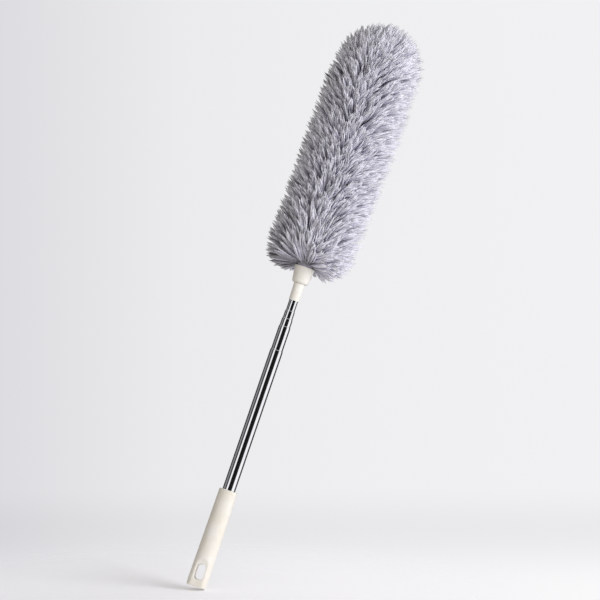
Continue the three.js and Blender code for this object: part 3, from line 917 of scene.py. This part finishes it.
# A fibre has three sides, in rings along it, and a pointed tip
FIBRE_RADIUS = 1.15
FIBRE_RADII = (0.8, 1.2)
RING_PLACES = np.array([0.0, 0.4, 0.72, 0.9])
RING_THICKNESS = np.array([0.5, 0.8, 1.0, 0.8])
FIBRE_PLACES = np.concatenate([RING_PLACES, [1.0]])
ACROSS_FIBRES = np.array([0.3, 0.2, 1.0])
MAP_NAME = "OFBake"
MAP_MARGIN = 0.06
MAP_ROOT_SHARE = 0.1
MAP_ROOT_END = [(0.3, 0.0), (0.5, 0.6 * MAP_ROOT_SHARE), (0.7, 0.0)]
FIRST_CUT = 534.0
PILE_BEND = (-5 * MM, 35 * MM)
# Shades, as shares of the colour. Painted shade at the crown and down the left side, deepest at the foot's
# left; painted light near the top of the left side and on the right, most at the right of the foot. Tufts
# and fibres also vary at random, more where they gather
TUFT_SHADE = 1.02
LEFT_TOP_PAINTED_LIGHT = 0.1
LEFT_PAINTED_SHADE_DOWN = 0.16
LEFT_FOOT_PAINTED_SHADE = 0.16
CROWN_PAINTED_SHADE = 0.24
RIGHT_PAINTED_LIGHT = 0.03
RIGHT_FOOT_PAINTED_LIGHT = 0.06
TUFT_VARIES = 0.1
GATHERED_VARIES = 0.14
FIBRE_VARIES = [0.16, 0.42]
FIBRE_SHADES = (0.4, 1.3)
PALEST = 1.05
# Fibre colour from root to tip: darker towards the root, painted shade deep in the pile
FIBRE_COLOURS_PAINTED_ROOT_SHADE = [(0.25, srgb(206, 203, 219)), (0.62, srgb(236, 233, 250)), (0.96, srgb(249, 247, 255))]
PATCH_SCALE = 38.0
PATCH_SHADES = (0.93, 1.07)
STREAK_SCALE = 2600.0
STREAK_ROUGHNESS = (0.78, 1.0)
STREAK_STRENGTH = 0.25
STREAK_HEIGHT = 0.2 * MM
FIBRE_SHEEN = 0.6
SHEEN_ROUGHNESS = 0.5
FIBRE_SHINE = 0.2


def outline_points():
    """The head's outline as (radius, height) points, from its lowest tips to its crown."""
    t = np.linspace(0, 1, UNDERSIDE_STEPS)[:, None]
    start, corner = np.array(FIRST_TIP), np.array(UNDERSIDE_CORNER)
    full = np.array([HEAD_RADIUS, FULL_WIDTH_FROM])
    underside = (1 - t) ** 2 * start + 2 * t * (1 - t) * corner + t**2 * full
    heights = np.linspace(FULL_WIDTH_FROM, DOME_CENTRE, SIDE_STEPS)[1:]
    side = np.stack([np.full_like(heights, HEAD_RADIUS), heights], 1)
    angles = np.linspace(0, pi / 2, SIDE_STEPS)[1:]
    dome = np.stack([HEAD_RADIUS * np.cos(angles), DOME_CENTRE + HEAD_RADIUS * np.sin(angles)], 1)
    return np.concatenate([underside, side, dome])


def root_points(arc):
    """Where on the backing a root lies, and which way its fibre leaves it, in radius and height."""
    over = np.clip((arc - (SHOULDER - FIRST_ROOT)) / ROOT_RADIUS, 0, pi / 2)
    height = np.minimum(FIRST_ROOT + arc, SHOULDER)
    away = np.stack([np.cos(over), np.sin(over)], 1)
    return np.stack([np.zeros_like(arc), height], 1) + ROOT_RADIUS * away, away


def lengthwise(points):
    """Distance along a row of points."""
    steps = np.linalg.norm(np.diff(points, axis=0), axis=1)
    return np.concatenate([[0], np.cumsum(steps)])


def around(flat, turn):
    """Points (radius, height) turned about Z by an angle each."""
    return np.stack([flat[:, 0] * np.cos(turn), flat[:, 0] * np.sin(turn), flat[:, 1]], 1)


def clumps(draw, turn, arc):
    """How far each tuft's tip is drawn sideways and upwards, as tufts gather into loose clumps."""
    sideways, upwards = np.zeros_like(arc), np.zeros_like(arc)
    for _ in range(CLUMP_WAVES):
        rounds = draw.integers(-CLUMP_ROUNDS, CLUMP_ROUNDS + 1)
        waves = draw.uniform(-CLUMP_PITCH, CLUMP_PITCH)
        slope = np.cos(rounds * turn + waves * arc + draw.uniform(0, 2 * pi))
        sideways += slope * rounds / HEAD_RADIUS
        upwards += slope * waves
    scale = CLUMP_REACH / np.sqrt(np.mean(sideways**2 + upwards**2))
    return sideways * scale, upwards * scale


def towards(turn, way):
    """How squarely each tuft faces one way round the head, counted from the camera towards the right."""
    facing = to_camera * cos(way) + to_right * sin(way)
    return np.clip(np.cos(turn) * facing.x + np.sin(turn) * facing.y, 0, 1)


def comb_tufts(draw):
    """Every tuft's root, bow and tip, two directions across it, its root's height, shade and gathering."""
    outline = outline_points()
    arc_at = lengthwise(outline)
    area = np.concatenate([[0], np.cumsum(np.diff(arc_at) * (outline[1:, 0] + outline[:-1, 0]) / 2)])
    order = (np.arange(TUFTS) + 0.5) / TUFTS
    turn = np.arange(TUFTS) * GOLDEN_ANGLE
    root_arc = np.interp(order, area / area[-1], arc_at)
    share = root_arc / arc_at[-1] * TIP_MARKS[-1]
    root_flat, away_flat = root_points(np.interp(share, TIP_MARKS, ROOT_MARKS))

    in_front, behind = towards(turn, 0), towards(turn, pi)
    to_left, on_right = towards(turn, -pi / 2), towards(turn, pi / 2)
    low_down = np.clip(1 - root_arc / LIFT_UNTIL, 0, 1)
    below_crown = np.clip((TIP_MARKS[-1] - root_arc) / (TIP_MARKS[-1] - TIP_MARKS[-2]), 0, 1)
    down_the_head = 1 - root_arc / arc_at[-1]
    uneven = 1 - LEFT_EVEN * to_left
    gathered = np.clip(to_left + (low_down + 1 - below_crown) * in_front * (1 - on_right), 0, 1)

    sideways, upwards = (reach * uneven for reach in clumps(draw, turn, root_arc))
    tip_arc = np.clip(root_arc + upwards + draw.normal(0, TIP_STRAYS, TUFTS), 0, arc_at[-1])
    tip_flat = np.stack([np.interp(tip_arc, arc_at, outline[:, k]) for k in (0, 1)], 1)
    sideways += draw.normal(0, TIP_STRAYS, TUFTS)
    tip_turn = turn + sideways / np.maximum(tip_flat[:, 0], NARROWEST_TURN)
    combed = (SIDE_COMB + FRONT_COMB * behind) * np.clip(root_arc / COMBED_FROM, 0, 1)
    combed += FRONT_COMB * towards(turn, COMB_WAY)
    tip_flat[:, 1] += combed * below_crown
    tip_flat[:, 1] += FRONT_LIFT * low_down**1.5 * towards(turn, LIFT_WAY) ** 3
    tip_flat[:, 1] -= HANG * low_down**6 * (1 - towards(turn, CLEAR_WAY))

    root_turn = turn + draw.normal(0, ROOT_STRAYS, TUFTS)
    shorter = np.where(draw.uniform(0, 1, TUFTS) < SHORT_SHARE, SHORTER_BY, 0.0)
    length_share = 1 - (1 - draw.uniform(*LENGTHS, TUFTS) + shorter) * uneven - LEFT_SHORTER * to_left
    # A tuft's mean tone carries painted light and shade, by its side of the head and its height
    mean_tone_and_painted_shade = TUFT_SHADE + (LEFT_TOP_PAINTED_LIGHT - LEFT_PAINTED_SHADE_DOWN * down_the_head) * to_left
    mean_tone_and_painted_shade -= CROWN_PAINTED_SHADE * (1 - below_crown)
    mean_tone_and_painted_shade += (RIGHT_PAINTED_LIGHT + RIGHT_FOOT_PAINTED_LIGHT * low_down) * on_right
    mean_tone_and_painted_shade -= LEFT_FOOT_PAINTED_SHADE * low_down * to_left
    shade = draw.normal(mean_tone_and_painted_shade, TUFT_VARIES + GATHERED_VARIES * gathered)

    root = around(root_flat, root_turn)
    tip = around(tip_flat, tip_turn)
    tip = root + (tip - root) * length_share[:, None] - SAG * np.array(floor_up)
    tip -= FOOT_SHIFT * (low_down**2)[:, None] * np.array(to_right)
    fuller = np.interp(tip[:, 2], FULLNESS_AT, FULLNESS) * on_right
    tip += fuller[:, None] * np.array(to_right)
    high_up = np.clip((tip[:, 2] - CROWN_SHIFT_FROM) / (HEAD_TOP - CROWN_SHIFT_FROM), 0, 1)
    crown_shift = (CROWN_SHIFT + CROWN_TRIM * to_left) * high_up
    tip += crown_shift[:, None] * np.array(to_right)

    length = np.linalg.norm(tip - root, axis=1)
    ahead = (tip - root) / length[:, None]
    start = around(away_flat, root_turn) + ahead
    start /= np.linalg.norm(start, axis=1)[:, None]
    beside = np.cross(ahead, np.array([0.0, 0.0, 1.0]))
    beside /= np.maximum(np.linalg.norm(beside, axis=1), 1e-6)[:, None]
    above = np.cross(beside, ahead)
    curl = CURL_SIDEWAYS * draw.normal(0, 1, (TUFTS, 1)) * beside
    curl += CURL_UPWARDS * draw.normal(0, 1, (TUFTS, 1)) * above
    bow = root + start * (BOW * length)[:, None] + curl
    return root, bow, tip, beside, above, root_flat[:, 1], shade, gathered


def pile():
    """Every fibre's middle line, its thickness, its root's height, its shade and its roll."""
    draw = np.random.default_rng(SEED)
    each_fibre = (np.repeat(values, FIBRES, axis=0) for values in comb_tufts(draw))
    root, bow, tip, beside, above, root_height, tuft_tone_and_painted_shade, gathered = each_fibre
    count = TUFTS * FIBRES
    out = np.sqrt(draw.uniform(0, 1, count))
    where = draw.uniform(0, 2 * pi, count)
    end = draw.uniform(*FIBRE_ENDS, count) - OUTER_SHORTER * out**2
    stray = np.where(draw.uniform(0, 1, count) < STRAY_SHARE, draw.uniform(*STRAY_REACH, count), 1.0)
    offset = beside * (TUFT_WIDTH * out * np.cos(where) * stray)[:, None]
    offset += above * (TUFT_DEPTH * out * np.sin(where) * stray)[:, None]
    lines = []
    for place in FIBRE_PLACES:
        t = (place * end)[:, None]
        line = (1 - t) ** 2 * root + 2 * t * (1 - t) * bow + t**2 * tip
        drawn_in = max(0, place - GATHER_FROM) / (1 - GATHER_FROM)
        spread = np.interp(place, TUFT_SPREAD_AT, TUFT_SPREAD) * (1 - GATHER * gathered * drawn_in)
        lines.append(line + offset * spread[:, None])
    lines = np.stack(lines, 1)
    rim = COLLAR_RIM / MM + RIM_CLEARANCE
    near_rim = np.linalg.norm(lines[:, :, :2], axis=2) < COLLAR_TOP_RADIUS / MM + RIM_MARGIN
    lines[:, :, 2] = np.where(near_rim, np.maximum(lines[:, :, 2], rim), lines[:, :, 2])
    thickness = FIBRE_RADIUS * draw.uniform(*FIBRE_RADII, count) * (1 + GATHER_THICKER * gathered)
    varies = np.interp(gathered, [0, 1], FIBRE_VARIES)
    shade = tuft_tone_and_painted_shade * np.clip(draw.normal(1.0, varies), *FIBRE_SHADES)
    return lines, thickness, root_height, shade, draw.uniform(0, 2 * pi, count)


def fibre_map(count):
    """A flat map of the fibres, one cell each: three sides next to each other above the root's end."""
    places = MAP_ROOT_SHARE + (1 - MAP_ROOT_SHARE) * FIBRE_PLACES
    corners = list(MAP_ROOT_END)
    for k, (low, high) in enumerate(zip(places, places[1:])):
        for side in range(3):
            left, right = side / 3, (side + 1) / 3
            if k == len(RING_PLACES) - 1:
                corners += [(left, low), (right, low), ((left + right) / 2, high)]
            else:
                corners += [(left, low), (right, low), (right, high)]
                corners += [(left, low), (right, high), (left, high)]
    columns = int(np.ceil(np.sqrt(count)))
    cells = np.stack(np.divmod(np.arange(count), columns), 1)
    within = MAP_MARGIN + (1 - 2 * MAP_MARGIN) * np.array(corners)
    return (cells[:, None] + within) / columns


def fibre_mesh(name, lines, thickness, shade, roll):
    """One mesh of three-sided pointed fibres, with each point's shade and its place along its fibre."""
    count, rings = len(lines), len(RING_PLACES)
    ahead = lines[:, -1] - lines[:, 0]
    ahead /= np.linalg.norm(ahead, axis=1)[:, None]
    beside = np.cross(ahead, ACROSS_FIBRES)
    beside /= np.linalg.norm(beside, axis=1)[:, None]
    above = np.cross(ahead, beside)
    angle = roll[:, None] + np.arange(3) * 2 * pi / 3
    ring = beside[:, None] * np.cos(angle)[..., None] + above[:, None] * np.sin(angle)[..., None]
    radius = thickness[:, None] * RING_THICKNESS
    body = lines[:, :rings, None, :] + ring[:, None] * radius[..., None, None]
    points = np.concatenate([body.reshape(count, rings * 3, 3), lines[:, -1:]], 1)
    faces = [(0, 2, 1)]
    for k in range(rings):
        for side in range(3):
            low, low_next = 3 * k + side, 3 * k + (side + 1) % 3
            if k == rings - 1:
                faces.append((low, low_next, rings * 3))
            else:
                faces += [(low, low_next, low_next + 3), (low, low_next + 3, low + 3)]
    faces = np.array(faces)
    per_fibre = rings * 3 + 1
    corners = (faces[None] + (np.arange(count) * per_fibre)[:, None, None]).reshape(-1)
    mesh = bpy.data.meshes.new(name)
    mesh.vertices.add(count * per_fibre)
    mesh.vertices.foreach_set("co", (points * MM).astype(np.float32).ravel())
    mesh.loops.add(len(corners))
    mesh.loops.foreach_set("vertex_index", corners.astype(np.int32))
    mesh.polygons.add(len(corners) // 3)
    mesh.polygons.foreach_set("loop_start", np.arange(0, len(corners), 3, dtype=np.int32))
    mesh.update(calc_edges=True)
    mesh.shade_smooth()
    flat_map = mesh.uv_layers.new(name=MAP_NAME)
    flat_map.data.foreach_set("uv", fibre_map(count).astype(np.float32).ravel())
    along = np.concatenate([np.repeat(RING_PLACES, 3), [1.0]])
    for label, values in (("along", np.tile(along, count)), ("shade", np.repeat(shade, per_fibre))):
        attribute = mesh.attributes.new(label, "FLOAT", "POINT")
        attribute.data.foreach_set("value", values.astype(np.float32))
    made = bpy.data.objects.new(name, mesh)
    scene.collection.objects.link(made)
    return made


microfibre, tree, shader = new_material("microfibre")
along = add_node(tree, "ShaderNodeAttribute", attribute_name="along").outputs["Fac"]
shade = add_node(tree, "ShaderNodeAttribute", attribute_name="shade").outputs["Fac"]
# Colour along each fibre, darker towards the root as painted shade
colour_with_painted_root_shade = colour_ramp(tree, along, FIBRE_COLOURS_PAINTED_ROOT_SHADE)
place = add_node(tree, "ShaderNodeTexCoord").outputs["Object"]
patchy = remap(tree, noise(tree, place, PATCH_SCALE, 3.0), *NOISE_RANGE, *PATCH_SHADES)
# The fibres' shade attribute holds painted light and shade as well as their random tone
tone_with_painted_shade = calculate(tree, "MINIMUM", times(tree, shade, patchy), PALEST)
streaks = remap(tree, noise(tree, place, STREAK_SCALE, 2.0), *NOISE_RANGE, *STREAK_ROUGHNESS)
fibre_looks = {
    "Base Color": mix_colours(tree, 1.0, colour_with_painted_root_shade, grey(tree, tone_with_painted_shade), "MULTIPLY"),
    "Roughness": streaks,
    "Normal": bump(tree, streaks, STREAK_STRENGTH, STREAK_HEIGHT),
    "Sheen Weight": FIBRE_SHEEN,
    "Sheen Roughness": SHEEN_ROUGHNESS,
    "Specular IOR Level": FIBRE_SHINE,
}
fill(shader, fibre_looks)

lines, thickness, root_height, shade, roll = pile()
pile_cuts = [0.0, FIRST_CUT, *((bend + PILE_BEND[1]) / MM for bend in bends[:2]), HEAD_TOP]
for number, (low, high) in enumerate(zip(pile_cuts, pile_cuts[1:]), start=1):
    rooted = (root_height >= low) & (root_height < high)
    fibres = fibre_mesh(
        f"fibre_pile_{number}", lines[rooted], thickness[rooted], shade[rooted], roll[rooted]
    )
    fibres.data.materials.append(microfibre)
    if number == 1:
        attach(fibres, "head_base")
    else:
        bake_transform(fibres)
    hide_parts(f"fibres_{number}")
